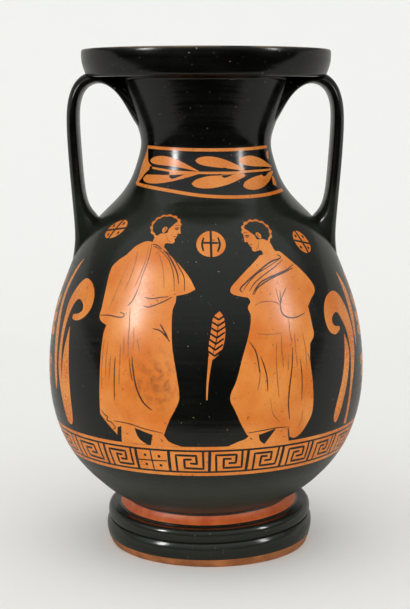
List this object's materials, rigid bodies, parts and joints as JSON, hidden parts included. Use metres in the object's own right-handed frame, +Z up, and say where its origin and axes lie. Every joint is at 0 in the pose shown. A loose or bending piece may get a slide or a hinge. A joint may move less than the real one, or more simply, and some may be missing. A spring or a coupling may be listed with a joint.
{
  "type": "storage jar",
  "caption": "Wheel-thrown clay pelike jar with a low belly, a broad lip, upright strap handles and a stepped foot, painted with draped figures and ornament bands.",
  "frame": {"origin": "on the jar's axis at the resting plane", "axes": "+Z up along the jar's axis, the painted front faces -Y, the handles stand at +X and -X"},
  "size_m": [0.2106, 0.2106, 0.33],
  "materials": {
    "fired_clay": "black slip gloss with reserved orange clay figures and bands"
  },
  "bodies": {
    "root": {"pelike": "fired_clay"}
  },
  "joints": []
}
